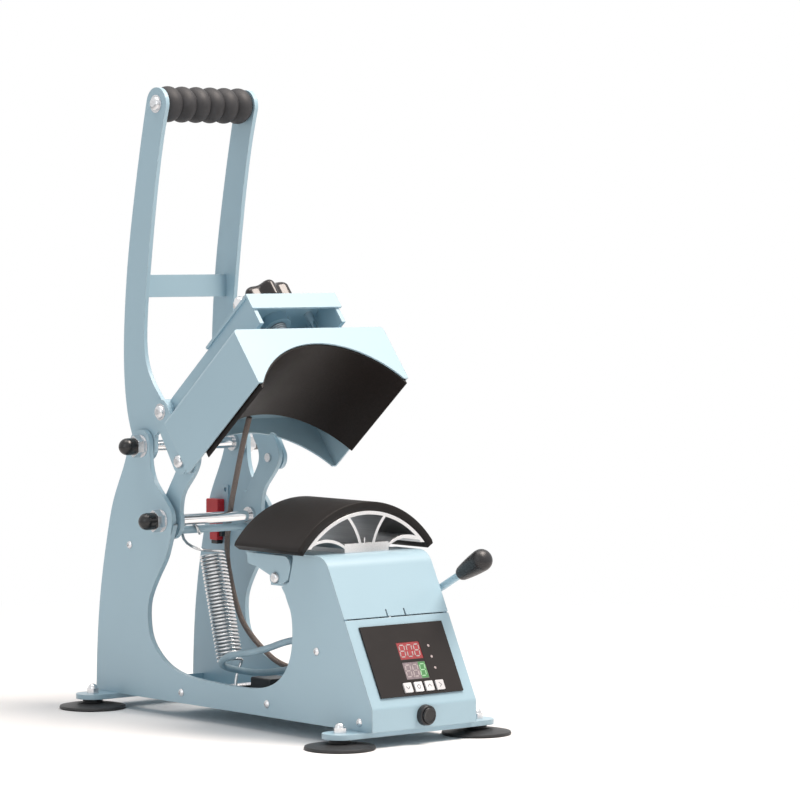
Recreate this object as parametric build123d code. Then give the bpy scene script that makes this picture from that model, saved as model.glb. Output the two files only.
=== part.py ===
from build123d import *
from math import atan2, ceil, cos, degrees, hypot, pi, radians, sin, sqrt, tan
import os

os.makedirs("parts", exist_ok=True)

# Cap heat press. X runs to the right, Y to the back and Z up, in millimetres.
# The origin is on the floor, midway between the four feet.

# ---- layers across the press, as distances from the middle plane
frame_inner = 52.0
frame_outer = 56.5
link_inner = 51.5
link_outer = 55.5
lever_inner = 47.2
lever_outer = 51.2
arm_inner = 43.0
arm_outer = 47.0

# ---- pivots of the toggle, as (y, z) with the press open
upper_pivot = (126.5, 237.0)
lower_pivot = (97.0, 172.3)
lever_pin = (98.73, 268.4)
arm_pin = (70.2, 225.8)
head_travel = 39.2

# ---- fits
running_fit = 0.08
hair = 0.02

# ---- frame
frame_bottom = 13.4
sheet = 1.5
box_top = 155.5
box_front = -197.5
slope_top = (-134.6, box_top)
slope_foot = (box_front, 33.0)
box_rear = -86.0
upper_cover_foot = 35.0
cover_rear = -32.0

# ---- feet
foot_x = 74.5
foot_y = 177.0
foot_radius = 29.9
foot_bar_half_width = 15.0
foot_bar_bottom = 9.0

# ---- rods
rod_radius = 5.0
nut_flats = 17.0
nut_height = 8.0
cap_radius = 7.6
cap_length = 14.0

# ---- platen
arc_centre_z = 106.5
pad_radius = 92.0
pad_thickness = 8.0
pad_foot_z = 160.2
platen_front = -121.0
platen_rear = -32.0
platen_wall = 3.0

# ---- head, given in its closed place
cover_half_width = 82.0
cover_front = -119.4
cover_back = 10.1
cover_top = 217.5
cover_foot = 161.0
element_radius = 93.0
element_thickness = 9.0
element_length = 98.0
element_half_width = 79.3
element_foot = 156.5
arm_top = 254.0
arm_foot = 226.0
arm_front = -116.5
web_front = -118.5
web_rear = -44.0
web_lip = 241.0
screw_y = -84.4
screw_radius = 8.0
guide_x = 34.0
guide_y = -92.0

# ---- clamp
clamp_pivot = (-67.7, 133.3)

# ---- lever
grip_centre = (110.0, 540.0)
bulb_radius = 16.0
bulb_count = 6

# ---- spring
wire_radius = 1.3
coil_radius = 10.7
coil_turns = 30
spring_x = 2.0
spring_bar = (106.0, 162.2)
spring_bar_radius = 3.5
anchor_rod = (67.2, 22.8)
anchor_rod_radius = 3.5


# ---------------------------------------------------------------- helpers
def side_on(x):
    """Sketch plane at x in which u is depth (Y) and v is height (Z)."""
    return Plane(origin=(x, 0, 0), x_dir=(0, 1, 0), z_dir=(1, 0, 0))


def face_on(y):
    """Sketch plane at y in which u is X and v is height (Z), extruded backwards."""
    return Plane(origin=(0, y, 0), x_dir=(-1, 0, 0), z_dir=(0, 1, 0))


def slab(outline, low, high):
    """Side outline given thickness from x = low to x = high."""
    return extrude(side_on(low) * outline, amount=high - low)


def disc(point, radius):
    return Pos(point[0], point[1]) * Circle(radius)


def rod(point, radius, low, high):
    return slab(disc(point, radius), low, high)


def block(x0, x1, y0, y1, z0, z1):
    return Pos((x0 + x1) / 2, (y0 + y1) / 2, (z0 + z1) / 2) * Box(x1 - x0, y1 - y0, z1 - z0)


def post(x, y, z0, z1, radius):
    return Pos(x, y, (z0 + z1) / 2) * Cylinder(radius, z1 - z0)


def other_side(shape):
    return mirror(shape, about=Plane.YZ)


def pair(shape):
    """A piece and its mirror image on the other side of the press."""
    return [shape, other_side(shape)]


def closed_outline(*edges):
    return make_face([e for edge in edges for e in edge.edges()])


lower_axis = Axis((0, lower_pivot[0], lower_pivot[1]), (1, 0, 0))


def opened(shape):
    """Swing a piece drawn with the press closed up to its open place."""
    return shape.rotate(lower_axis, -head_travel)


def turned(point, about, angle):
    c, s = cos(radians(angle)), sin(radians(angle))
    dy, dz = point[0] - about[0], point[1] - about[1]
    return (about[0] + dy * c - dz * s, about[1] + dy * s + dz * c)


def tree_leaves(shapes):
    return [solid for shape in shapes for solid in shape.solids()]


def save(name, *shapes):
    solids = tree_leaves(shapes)
    whole = solids[0] if len(solids) == 1 else Compound(children=solids)
    whole.label = name
    export_step(whole, f"parts/{name}.step")


# ---------------------------------------------------------------- frame plates
def side_plate_outline():
    """Tall rear upright, round window and control box side in one plate."""
    rear = Spline([(197, frame_bottom), (195, 57), (188, 114), (179, 155), (168, 190), (149, 228.5),
                   (143.5, 243), (128, 251.5)], tangents=[(-0.03, 1), (-1, 0)])
    front = Spline([(128, 251.5), (115.5, 245), (114.2, 232), (112.5, 218), (107, 206.5),
                    (97.5, 197), (86.5, 186.5), (80.8, 173), (82.6, 160), (88.5, 144.3)],
                   tangents=[(-1, 0), (0.4, -1)])
    window = Spline([(88.5, 144.3), (99, 128), (109.5, 113), (116.5, 98), (117.3, 84), (113.5, 68),
                     (103, 55.5), (88, 46), (62, 38.7), (22.5, 36), (-16, 35.3), (-46, 37.2),
                     (-66, 43), (-81, 55), (-89, 72.6), (-90.5, 89), (-87.6, 107), (-80.7, 120)],
                    tangents=[(0.4, -1), (0.4, 1)])
    covered = [(box_front, frame_bottom), slope_foot, slope_top, (-91.3, box_top)]
    low, foot, corner, _ = offset_inside(covered, sheet + hair)
    box = Polyline([(-91.3, corner[1]), corner, foot, low, (197, frame_bottom)])
    lip = Polyline([(-80.7, 120), (-75.5, 126.2), (-79.5, 127.0), (-86.0, 131.0), (-89.2, 141),
                    (-91.3, 150), (-91.3, corner[1])])
    face = closed_outline(rear, front, window, lip, box)
    for point, radius in ((corner, 16.6), (foot, 3.6)):
        nearest = face.vertices().sort_by_distance((point[0], point[1], 0))[0]
        face = fillet(nearest, radius)
    return face - disc(upper_pivot, rod_radius + hair) - disc(lower_pivot, rod_radius + hair)


side_screws = [anchor_rod, (-55.6, 24.4), (-123.7, 75.1), (-180.7, 21.0)]
switch_screw = (144.4, 148.0)


def side_plate():
    face = side_plate_outline()
    for spot in side_screws + [switch_screw]:
        face -= disc(spot, 2.0)
    return slab(face, -frame_outer, -frame_inner)


def domed_screw(spot, x, way):
    """Pan head screw on a side plate: head outside, shank through the plate."""
    head = Plane(origin=(x, spot[0], spot[1]), z_dir=(way, 0, 0))
    profile = closed_outline(Line((0, 0), (3.6, 0)), Line((3.6, 0), (3.5, 0.7)),
                             ThreePointArc((3.5, 0.7), (2.1, 2.0), (0, 2.4)), Line((0, 2.4), (0, 0)))
    body = revolve(Plane.XZ * profile, axis=Axis.Z)
    recess = Pos(0, 0, 2.4) * (Box(0.9, 3.2, 2.2) + Box(3.2, 0.9, 2.2))
    shank = Pos(0, 0, -2.9) * Cylinder(1.95, 5.8)
    return head * (body - recess + shank)


def foot_bar(y):
    slot = SlotCenterToCenter(2 * foot_x, 2 * foot_bar_half_width)
    bar = extrude(Pos(0, y, foot_bar_bottom) * slot, amount=frame_bottom - foot_bar_bottom)
    for x in (-foot_x, foot_x):
        bar -= post(x, y, 0, 20, 3.05)
    return bar


def rubber_foot(x, y):
    """Wide thin disc, domed up to the neck under the bar."""
    profile = closed_outline(
        Line((0, 0), (foot_radius - 1.0, 0)), Line((foot_radius - 1.0, 0), (foot_radius, 1.0)),
        Line((foot_radius, 1.0), (foot_radius - 0.6, 2.8)),
        ThreePointArc((foot_radius - 0.6, 2.8), (19.0, 4.6), (9.5, 5.6)),
        Line((9.5, 5.6), (8.0, foot_bar_bottom)), Line((8.0, foot_bar_bottom), (0, foot_bar_bottom)),
        Line((0, foot_bar_bottom), (0, 0)))
    foot = revolve(Plane.XZ * profile, axis=Axis.Z)
    bolt_room = Pos(0, 0, 3.0 + 10) * Cylinder(3.05, 20) + Pos(0, 0, 3.0 + 2.0) * Cylinder(5.05, 4.0)
    return Pos(x, y, 0) * (foot - bolt_room)


def foot_bolt(x, y):
    """Bolt with its head set in the rubber."""
    head = Pos(0, 0, 5.0) * Cylinder(5.0, 3.9)
    shank = Pos(0, 0, 12.0) * Cylinder(3.0, 12.0)
    return Pos(x, y, 0) * (head + shank)


def dome_nut(spot, flats, thread):
    """Cap nut standing on z = 0 with a blind hole for its bolt."""
    hexagon = RegularPolygon(flats / 2, 6, major_radius=False)
    body = extrude(hexagon, amount=flats * 0.45)
    chamfer_cone = Pos(0, 0, flats * 0.225) * Cylinder(flats * 0.565, flats * 0.45)
    dome = Pos(0, 0, flats * 0.45) * Sphere(flats * 0.43)
    dome -= block(-flats, flats, -flats, flats, -flats, flats * 0.45)
    blind = Pos(0, 0, flats * 0.28) * Cylinder(thread + hair, flats * 0.56 + 0.02)
    return Pos(*spot) * ((body & chamfer_cone) + dome - blind)


# ---------------------------------------------------------------- control box
def slope_plane(distance, lift=0.0):
    """Plane on the sloping front, u to the right, v up the slope, w out of it."""
    run = (slope_foot[0] - slope_top[0], slope_foot[1] - slope_top[1])
    length = hypot(*run)
    down = (run[0] / length, run[1] / length)
    out = (down[1], -down[0])
    start = (slope_top[0] + down[0] * distance + out[0] * lift,
             slope_top[1] + down[1] * distance + out[1] * lift)
    return Plane(origin=(0, start[0], start[1]), x_dir=(1, 0, 0), z_dir=(0, out[0], out[1]))


slope_length = hypot(slope_foot[0] - slope_top[0], slope_foot[1] - slope_top[1])
slope_offset = 16.0


def on_slope(distance, lift=0.0):
    """Same, measured from where the slope starts in the side view."""
    return slope_plane(distance, lift)


def bent_sheet(points, radius, half_width):
    """Sheet metal strip whose outside follows the points, bent round with one radius."""
    outside = Polyline(points)
    inside = offset_inside(points, sheet)
    face = closed_outline(outside, Line(points[-1], inside[-1]), Polyline(inside),
                          Line(inside[0], points[0]))
    for corner, inner in zip(points[1:-1], inside[1:-1]):
        outer_vertex = face.vertices().sort_by_distance((corner[0], corner[1], 0))[0]
        face = fillet(outer_vertex, radius)
        inner_vertex = face.vertices().sort_by_distance((inner[0], inner[1], 0))[0]
        face = fillet(inner_vertex, radius - sheet)
    return slab(face, -half_width, half_width)


def offset_inside(points, distance):
    """Points moved to the right hand of the way they run, with mitred corners."""
    moved = []
    for i, point in enumerate(points):
        normals = []
        for a, b in ((i - 1, i), (i, i + 1)):
            if a >= 0 and b < len(points):
                dy, dz = points[b][0] - points[a][0], points[b][1] - points[a][1]
                size = hypot(dy, dz)
                normals.append((dz / size, -dy / size))
        if len(normals) == 1:
            n = normals[0]
            moved.append((point[0] + n[0] * distance, point[1] + n[1] * distance))
        else:
            bisector = (normals[0][0] + normals[1][0], normals[0][1] + normals[1][1])
            size = hypot(*bisector)
            stretch = 2 * distance / (size * size)
            moved.append((point[0] + bisector[0] * stretch, point[1] + bisector[1] * stretch))
    return moved


def slope_point(distance):
    run = (slope_foot[0] - slope_top[0], slope_foot[1] - slope_top[1])
    return (slope_top[0] + run[0] * distance / slope_length,
            slope_top[1] + run[1] * distance / slope_length)


cover_join = 57.0
panel_top = 65.5
panel_height = 63.5
panel_half_width = 44.7


def upper_cover():
    """Bent cover over the box top, notched for the clamp cheeks, with a locating tab."""
    lower_edge = slope_point(cover_join)
    strip = bent_sheet([lower_edge, slope_top, (cover_rear, box_top)], 18.0, frame_outer)
    notch_front = -92.0
    for x in (-60.0, 51.0):
        strip -= block(x, x + 9.0, notch_front, 0, box_top - 5, box_top + 5)
    plane = on_slope(cover_join)
    for x in (-10.5, 9.0):
        strip -= plane * (Pos(x + 0.75, 3.0, 0) * Box(1.5, 6.2, 8))
    flange = block(-51.0, -51.0 + sheet, -82.0, -54.0, 126.0, box_top - sheet)
    flange -= rod(clamp_pivot, 3.0 + hair, -60, -40)
    tail = block(-49.5, 49.5, cover_rear - sheet, cover_rear, 147.0, box_top - sheet)
    strip = strip + flange + other_side(flange) + tail
    for x in (-16.0, 16.0):
        strip -= post(x, -76.0, 140, 170, 3.05)
    return strip


def control_cover():
    """Lower front cover: slope with the display opening, bend, and upright foot."""
    top_edge = slope_point(cover_join + 1.2)
    strip = bent_sheet([(box_front, frame_bottom + 0.4), slope_foot, top_edge], 5.0, frame_outer)
    window = on_slope(panel_top + panel_height / 2) * Box(72.0, 50.0, 12)
    button_hole = Pos(0, box_front, button_height) * Rot(90, 0, 0) * Cylinder(7.6, 20)
    floor_flange = block(-51.5, 51.5, box_front + sheet, box_front + 16, frame_bottom + 0.4,
                         frame_bottom + 0.4 + sheet)
    return strip - window - button_hole + floor_flange


def rear_wall():
    """Back of the control box with holes for the two leads."""
    wall = block(-51.9, 51.9, box_rear - sheet, box_rear, 15.0, 125.5)
    lip = block(-51.9, 51.9, box_rear - 12, box_rear - sheet, 15.0, 15.0 + sheet)
    for x, z, radius in lead_holes:
        wall -= Pos(x, box_rear, z) * Rot(90, 0, 0) * Cylinder(radius, 12)
    return wall + lip


def base_plate():
    """Floor of the box and of the frame, with a turned-up edge at the back."""
    floor = block(-51.9, 51.9, box_front + 17.0, 182.0, frame_bottom, frame_bottom + sheet)
    edge = block(-51.9, 51.9, 180.5, 182.0, frame_bottom + sheet, 22.0)
    room = Pos(0, 132, frame_bottom) * Box(70, 56, 8)
    return floor + edge - room


# ---------------------------------------------------------------- panel, keys and button
display_rows = (("red", 0.8, 89.5), ("green", 0.8, 107.3))
window_width = 25.0
window_height = 15.6
key_places = [(-14.0, 122.3), (-2.4, 122.3), (9.2, 122.3), (20.8, 122.3)]
key_size = 8.6
lamp_places = [(22.2, 86.6), (22.2, 96.5), (22.2, 106.6)]
panel_thickness = 1.6
key_travel = 0.6


def display_panel():
    plane = on_slope(panel_top + panel_height / 2, panel_thickness / 2 + hair)
    panel = plane * Box(2 * panel_half_width, panel_height, panel_thickness)
    back = on_slope(panel_top + panel_height / 2, -2.5) * Box(71.0, 49.0, 5.0)
    panel += back
    for _, x, distance in display_rows:
        panel -= on_slope(distance) * (Pos(x, 0, panel_thickness) * Box(window_width, window_height, 2.4))
    for x, distance in key_places:
        panel -= on_slope(distance) * (Pos(x, 0, 0) * Box(key_size + 0.6, key_size + 0.6, 4.4))
    for x, distance in lamp_places:
        panel -= on_slope(distance) * (Pos(x, 0, panel_thickness) * Cylinder(1.3, 2.4))
    return panel


def display_window(x, distance):
    plane = on_slope(distance, panel_thickness - 0.6)
    return plane * (Pos(x, 0, 0) * Box(window_width - 0.1, window_height - 0.1, 1.1))


def lamp(x, distance):
    return on_slope(distance, panel_thickness - 0.5) * (Pos(x, 0, 0) * Cylinder(1.25, 1.3))


def key(x, distance):
    """Square key standing just proud of the panel."""
    cap = Box(key_size, key_size, 2.0)
    cap = fillet(cap.edges().filter_by(Axis.Z), 0.8)
    return on_slope(distance, panel_thickness + 0.1) * (Pos(x, 0, 0) * cap)


button_travel = 2.0
button_height = 24.4


def power_button_ring():
    profile = closed_outline(
        Line((6.9, -1.0), (9.0, -1.0)), Line((9.0, -1.0), (8.4, 4.2)),
        ThreePointArc((8.4, 4.2), (8.1, 4.9), (7.5, 5.2)), Line((7.5, 5.2), (6.9, 5.2)),
        Line((6.9, 5.2), (6.9, -1.0)))
    outer = revolve(Plane.XZ * profile, axis=Axis.Z)
    outer -= Pos(0, 0, -1.0) * Cylinder(12, 2.0)
    sleeve = Pos(0, 0, -6.0) * (Cylinder(7.5, 12.0) - Cylinder(6.9, 12.0))
    nut = Pos(0, 0, -4.0) * (extrude(RegularPolygon(9.0, 6), amount=2.4) - Cylinder(7.52, 10))
    front = Plane(origin=(0, box_front - hair, button_height), x_dir=(1, 0, 0), z_dir=(0, -1, 0))
    return front * (outer + sleeve), front * nut


def power_button():
    profile = closed_outline(
        Line((0, -8.0), (6.7, -8.0)), Line((6.7, -8.0), (6.7, 6.2)),
        ThreePointArc((6.7, 6.2), (6.5, 6.7), (6.0, 7.0)),
        Line((6.0, 7.0), (4.5, 6.6)), Line((4.5, 6.6), (0, 6.6)), Line((0, 6.6), (0, -8.0)))
    front = Plane(origin=(0, box_front, button_height), x_dir=(1, 0, 0), z_dir=(0, -1, 0))
    return front * revolve(Plane.XZ * profile, axis=Axis.Z)


# ---------------------------------------------------------------- rods, nuts and collars
def pivot_rod(point):
    return rod(point, rod_radius, -frame_outer - 15.0, frame_outer + 15.0)


def hex_nut(point, x):
    """Nut with rounded corners, its inner face at x, outwards along X."""
    hexagon = RegularPolygon(nut_flats / 2, 6, major_radius=False, rotation=30)
    nut = extrude(hexagon, amount=nut_height)
    ball = Pos(0, 0, nut_height / 2) * Sphere(nut_flats * 0.61)
    nut = (nut & ball) - Cylinder(rod_radius + hair, 40)
    washer = Pos(0, 0, -0.5) * (Cylinder(10.0, 1.0) - Cylinder(rod_radius + hair, 40))
    way = 1 if x > 0 else -1
    seat = Plane(origin=(x + way * 1.0, point[0], point[1]), x_dir=(0, 1, 0), z_dir=(way, 0, 0))
    return [seat * nut, seat * washer]


def ball_cap(point, x):
    """Rubber cap pushed over the rod end."""
    way = 1 if x > 0 else -1
    neck = Pos(0, 0, (cap_length - cap_radius) / 2) * Cylinder(cap_radius, cap_length - cap_radius)
    dome = Pos(0, 0, cap_length - cap_radius) * Sphere(cap_radius) - block(-9, 9, -9, 9, -9, 3)
    room = Pos(0, 0, 3.1) * Cylinder(rod_radius + hair, 6.22)
    seat = Plane(origin=(x, point[0], point[1]), x_dir=(0, 1, 0), z_dir=(way, 0, 0))
    return seat * (neck + dome - room)


def collar(point, radius, low, high):
    return rod(point, radius, low, high) - rod(point, rod_radius + hair, low - 1, high + 1)


# ---------------------------------------------------------------- lever
def lever_outline():
    """Long bowed arm: grip eye at the top, foot round the upper pivot and the link pin."""
    rear = Spline([(124.2, 543.5), (130.0, 520), (144.5, 453), (154, 398), (158.6, 354), (160, 313),
                   (157.5, 281), (152, 257), (139, 232.5)])
    front = Spline([(96.0, 536), (100.8, 520), (115, 453), (124.5, 390), (129.3, 345),
                    (127, 313.5), (119, 297), (105.5, 281.5), (90.5, 266.5)])
    bottom = Polyline([(139, 232.5), (126.5, 224), (114, 232), (113, 247), (97, 258.5),
                       (90.5, 266.5)])
    face = closed_outline(rear, front, bottom, Line((124.2, 543.5), (96.0, 536)))
    face = face + disc(grip_centre, 14.6) + disc(upper_pivot, 13.0) + disc(lever_pin, 10.0)
    face -= disc(upper_pivot, rod_radius + running_fit)
    face -= disc(grip_centre, 4.0 + hair)
    return face


def lever_arm():
    return slab(lever_outline(), -lever_outer, -lever_inner)


def lever_crossbar():
    """Upper flat bar and lower slanted plate that tie the two arms."""
    upper = block(-lever_inner, lever_inner, 138.0, 142.0, 369.0, 389.0)
    seat = Plane(origin=(0, 129.4, 265.4), x_dir=(1, 0, 0), z_dir=(0, 0.8, 0.6))
    lower = seat * Box(2 * lever_inner, 29.0, 4.0)
    return upper, lower


def grip():
    """Six rubber bulbs in a row, with narrow waists between them."""
    half = lever_inner - 0.6
    pitch = 2 * half / bulb_count
    edges = []
    neck = 12.2
    for i in range(bulb_count):
        low = -half + i * pitch
        edges.append(ThreePointArc((low, neck), (low + pitch / 2, bulb_radius), (low + pitch, neck)))
    edges.append(Line((half, neck), (half, 4.1)))
    edges.append(Line((half, 4.1), (-half, 4.1)))
    edges.append(Line((-half, 4.1), (-half, neck)))
    body = revolve(Plane.XY * closed_outline(*edges), axis=Axis.X)
    return Pos(0, grip_centre[0], grip_centre[1]) * body


def button_head(point, x, radius=6.0):
    """Button head of a bolt with a hexagon socket, seated on the plate face at x."""
    way = 1 if x > 0 else -1
    profile = closed_outline(Line((0, 0), (radius, 0)), Line((radius, 0), (radius, 0.6)),
                             ThreePointArc((radius, 0.6), (radius * 0.8, 2.4), (radius * 0.45, 3.2)),
                             Line((radius * 0.45, 3.2), (0, 3.2)), Line((0, 3.2), (0, 0)))
    head = revolve(Plane.XZ * profile, axis=Axis.Z)
    socket = Pos(0, 0, 2.2) * extrude(RegularPolygon(2.3, 6), amount=2.0)
    seat = Plane(origin=(x, point[0], point[1]), x_dir=(0, 1, 0), z_dir=(way, 0, 0))
    return seat * (head - Pos(0, 0, -1.2) * socket)


def washer(point, x, radius, hole):
    way = 1 if x > 0 else -1
    seat = Plane(origin=(x, point[0], point[1]), x_dir=(0, 1, 0), z_dir=(way, 0, 0))
    ring = Pos(0, 0, 0.4) * (Cylinder(radius, 0.8) - Cylinder(hole, 4))
    return seat * ring


# ---------------------------------------------------------------- head arms
def arm_outline():
    """Straight upper arm and curved leg, drawn closed and ready to swing open."""
    pin = turned(arm_pin, lower_pivot, head_travel)
    bar_hole = turned(spring_bar, lower_pivot, head_travel)
    top = Polyline([(arm_front, arm_foot), (arm_front, arm_top), (24.0, arm_top)])
    back = Spline([(24.0, arm_top), (34.5, 250), (42.5, 239), (49.0, 225.7), (50.0, 214),
                   (54.5, 205), (63, 200.2), (76, 196.5), (90, 193.2), (103, 188.4)],
                  tangents=[(1, 0), (1, -0.5)])
    under = Spline([(89.5, 157.0), (80.5, 168), (68, 178.2), (53, 181.3), (38.6, 183.8),
                    (29.0, 189.5), (25.3, 200), (23.5, 212), (20.0, arm_foot)],
                   tangents=[(-0.6, 1), (-0.4, 1)])
    lobe = Line((103, 188.4), (89.5, 157.0))
    face = closed_outline(top, back, lobe, under, Line((20.0, arm_foot), (arm_front, arm_foot)))
    face = face + disc(lower_pivot, 17.0) + disc(bar_hole, 6.5)
    face -= disc(lower_pivot, rod_radius + running_fit)
    face -= disc(bar_hole, spring_bar_radius + hair)
    face -= disc(pin, 4.0 + hair)
    return face


def head_arm_plate():
    return opened(slab(arm_outline(), -arm_outer, -arm_inner))


def front_channel():
    """Web over the two arms with a turned-down front lip, holes for screw and guides."""
    web = block(-49.0, 49.0, web_front, web_rear, arm_top, arm_top + 2.5)
    lip = block(-49.0, 49.0, web_front, web_front + 2.0, web_lip, arm_top)
    boss = post(0, screw_y, arm_top - 9.0, arm_top, 13.0)
    body = web + lip + boss
    body -= post(0, screw_y, 200, 300, screw_radius + running_fit)
    for x in (-guide_x, guide_x):
        body -= post(x, guide_y, 200, 300, 4.0 + running_fit)
    return opened(body)


def link_plate():
    line = (arm_pin[0] - lever_pin[0], arm_pin[1] - lever_pin[1])
    length = hypot(*line)
    angle = degrees(atan2(line[1], line[0]))
    middle = ((arm_pin[0] + lever_pin[0]) / 2, (arm_pin[1] + lever_pin[1]) / 2)
    bar = Pos(*middle) * Rot(0, 0, angle) * SlotCenterToCenter(length, 22.0)
    bar -= disc(lever_pin, 4.0 + hair)
    bar -= disc(arm_pin, 4.0 + running_fit)
    return slab(bar, -link_outer, -link_inner)


# ---------------------------------------------------------------- press head
def arc_section(radius, half_width, foot):
    """Area under an arch about the platen's centre, down to the foot height."""
    full = Pos(0, arc_centre_z) * Circle(radius)
    keep = Pos(0, foot + 100) * Rectangle(2 * half_width, 200)
    return full & keep


def head_cover():
    """Five-sided bent cover, open below, with arched front and back."""
    outer = block(-cover_half_width, cover_half_width, cover_front, cover_back, cover_foot, cover_top)
    outer = fillet(outer.edges().filter_by(Axis.Y).group_by(Axis.Z)[-1], 4.0)
    inner = block(-cover_half_width + sheet, cover_half_width - sheet, cover_front + sheet,
                  cover_back - sheet, cover_foot - 1, cover_top - sheet)
    inner = fillet(inner.edges().filter_by(Axis.Y).group_by(Axis.Z)[-1], 2.5)
    tunnel = extrude(face_on(cover_front - 5) * arc_section(element_radius + 1.5, 100, 100),
                     amount=cover_back - cover_front + 10)
    body = outer - inner - tunnel
    body -= post(0, screw_y, 200, 230, screw_radius + 2.0)
    for x in (-guide_x, guide_x):
        body -= post(x, guide_y, 200, 230, 4.0 + hair)
    body -= Pos(lead_exit_x, cover_back, lead_exit_z) * Rot(90, 0, 0) * Cylinder(4.1, 12)
    return opened(body)


def heating_element():
    """Curved heated plate: arch with straight lower edges."""
    section = arc_section(element_radius + element_thickness, element_half_width, element_foot)
    section -= Pos(0, arc_centre_z) * Circle(element_radius)
    front = cover_front + sheet + 0.3
    return opened(extrude(face_on(front) * section, amount=element_length))


def pressure_plate():
    """Ribbed plate that spreads the screw's force over the element."""
    top = arc_centre_z + element_radius + element_thickness
    plate = block(-40, 40, -112, -30, top + 0.2, top + 3.4)
    feet = block(-40, -36, -112, -30, top - 6.0, top + 0.2) + block(36, 40, -112, -30, top - 6.0, top + 0.2)
    section = Pos(0, arc_centre_z) * Circle(element_radius + element_thickness + 0.15)
    feet -= extrude(face_on(-130) * section, amount=120)
    plate = plate + feet
    for x in (-guide_x, guide_x):
        plate -= post(x, guide_y, 200, 230, 4.0 + hair)
    return opened(plate)


def guide_rod(x):
    """Guide rod fixed in the head, sliding through the web."""
    return opened(post(x, guide_y, 211.9 + 0.2, arm_top + 13.0, 4.0))


def pressure_screw():
    """Thick screw with a thrust foot under the cover and a long tapered top."""
    shaft = post(0, screw_y, 213.2, arm_top + 26.0, screw_radius)
    foot = post(0, screw_y, 212.2, 214.0, screw_radius + 1.2)
    return opened(shaft + foot)


def knob():
    """Seven-lobed hand knob on the screw."""
    lobes = 7
    core = Circle(19.0)
    for i in range(lobes):
        angle = 2 * pi * i / lobes
        core += Pos(18.5 * cos(angle), 18.5 * sin(angle)) * Circle(6.6)
    core = fillet(core.vertices(), 2.5)
    body = extrude(core, amount=21.0)
    body = fillet(body.edges().group_by(Axis.Z)[-1], 4.0)
    body = fillet(body.edges().group_by(Axis.Z)[0], 1.5)
    neck = Pos(0, 0, -2.5) * Cylinder(12.5, 5.0)
    bore = Pos(0, 0, 2.0) * Cylinder(screw_radius + hair, 16.0)
    return opened(Pos(0, screw_y, arm_top + 17.0) * (body + neck - bore))


# ---------------------------------------------------------------- platen
def platen_extrusion():
    """Arched extrusion: outer arch, fan webs, lower arcs and a flat base bar."""
    outer = pad_radius - pad_thickness
    arch = arc_section(outer, 100, 160.9) - Pos(0, arc_centre_z) * Circle(outer - platen_wall)
    base = Pos(0, (box_top + 163.4) / 2 + 0.1) * Rectangle(48.0, 163.4 - box_top)
    shape = arch + base
    for way in (-1, 1):
        web = closed_outline(
            ThreePointArc((way * 5.6, 162.5), (way * 11.0, 175.6), (way * 19.8, 187.4)),
            Line((way * 19.8, 187.4), (way * 22.6, 186.6)),
            ThreePointArc((way * 22.6, 186.6), (way * 13.6, 174.8), (way * 8.4, 162.5)),
            Line((way * 8.4, 162.5), (way * 5.6, 162.5)))
        lower = closed_outline(
            ThreePointArc((way * 22.5, 158.2), (way * 42.0, 165.6), (way * 62.6, 160.9)),
            Line((way * 62.6, 160.9), (way * 61.5, 163.6)),
            ThreePointArc((way * 61.5, 163.6), (way * 42.0, 168.2), (way * 22.5, 160.9)),
            Line((way * 22.5, 160.9), (way * 22.5, 158.2)))
        shape = shape + web + lower
    prong = Pos(2.4, 165.6) * Rectangle(1.2, 5.0)
    shape = shape + prong
    body = extrude(face_on(platen_front) * shape, amount=platen_rear - platen_front)
    for x in (-16.0, 16.0):
        body -= post(x, -76.0, box_top - 2, box_top + 7.0, 2.6)
    return body


def platen_pad():
    section = arc_section(pad_radius, 100, pad_foot_z)
    section -= Pos(0, arc_centre_z) * Circle(pad_radius - pad_thickness + 0.05)
    return extrude(face_on(platen_front) * section, amount=platen_rear - platen_front)


def platen_bolt(x):
    return post(x, -76.0, box_top - sheet - 0.1, box_top + 6.5, 2.55) + \
        post(x, -76.0, box_top - sheet - 4.6, box_top - sheet - 0.1, 5.0)


# ---------------------------------------------------------------- cap clamp
def clamp_cheek_outline():
    """Cheek in line with the side plate, with a dark gap all round it."""
    face = make_polygon([(-27.8, 152.6), (-28.2, 143.6), (-43.3, 140.6), (-60.9, 134.6),
                         (-77.0, 128.8), (-84.2, 132.6), (-87.4, 141.4), (-88.6, 152.6)])
    corner = face.vertices().sort_by_distance((-88.6, 152.6, 0))[0]
    face = fillet(corner, 9.0)
    face = face + disc(clamp_pivot, 8.0) - disc(clamp_pivot, 3.0 + running_fit)
    return face & (Pos(-58, 141) * Rectangle(70, 24.5))


def make_polygon(points):
    return closed_outline(Polyline(points + [points[0]]))


def clamp_cheek():
    return slab(clamp_cheek_outline(), -frame_outer, -frame_inner)


def clamp_bar():
    """Cross bar at the back of the cheeks, under the platen, with a rubber-free flat top."""
    bar = block(-frame_inner, frame_inner, -30.8, -27.8, 143.6, 152.6)
    shelf = block(-frame_inner, frame_inner, -27.8, -20.0, 150.6, 152.6)
    return bar + shelf


def clamp_crank():
    """Flat crank on the right cheek that carries the lever rod."""
    arm = make_polygon([(-62.0, 139.5), (-73.0, 141.0), (-133.0, 123.5), (-131.0, 109.0),
                        (-122.0, 107.0), (-66.0, 125.5)])
    arm = fillet(arm.vertices(), 4.5)
    arm = arm + disc(clamp_pivot, 8.0) - disc(clamp_pivot, 3.0 + running_fit)
    return slab(arm, frame_outer + 0.4, frame_outer + 3.9)


lever_start = (-126.0, 114.5)
lever_rise = 27.0


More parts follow.
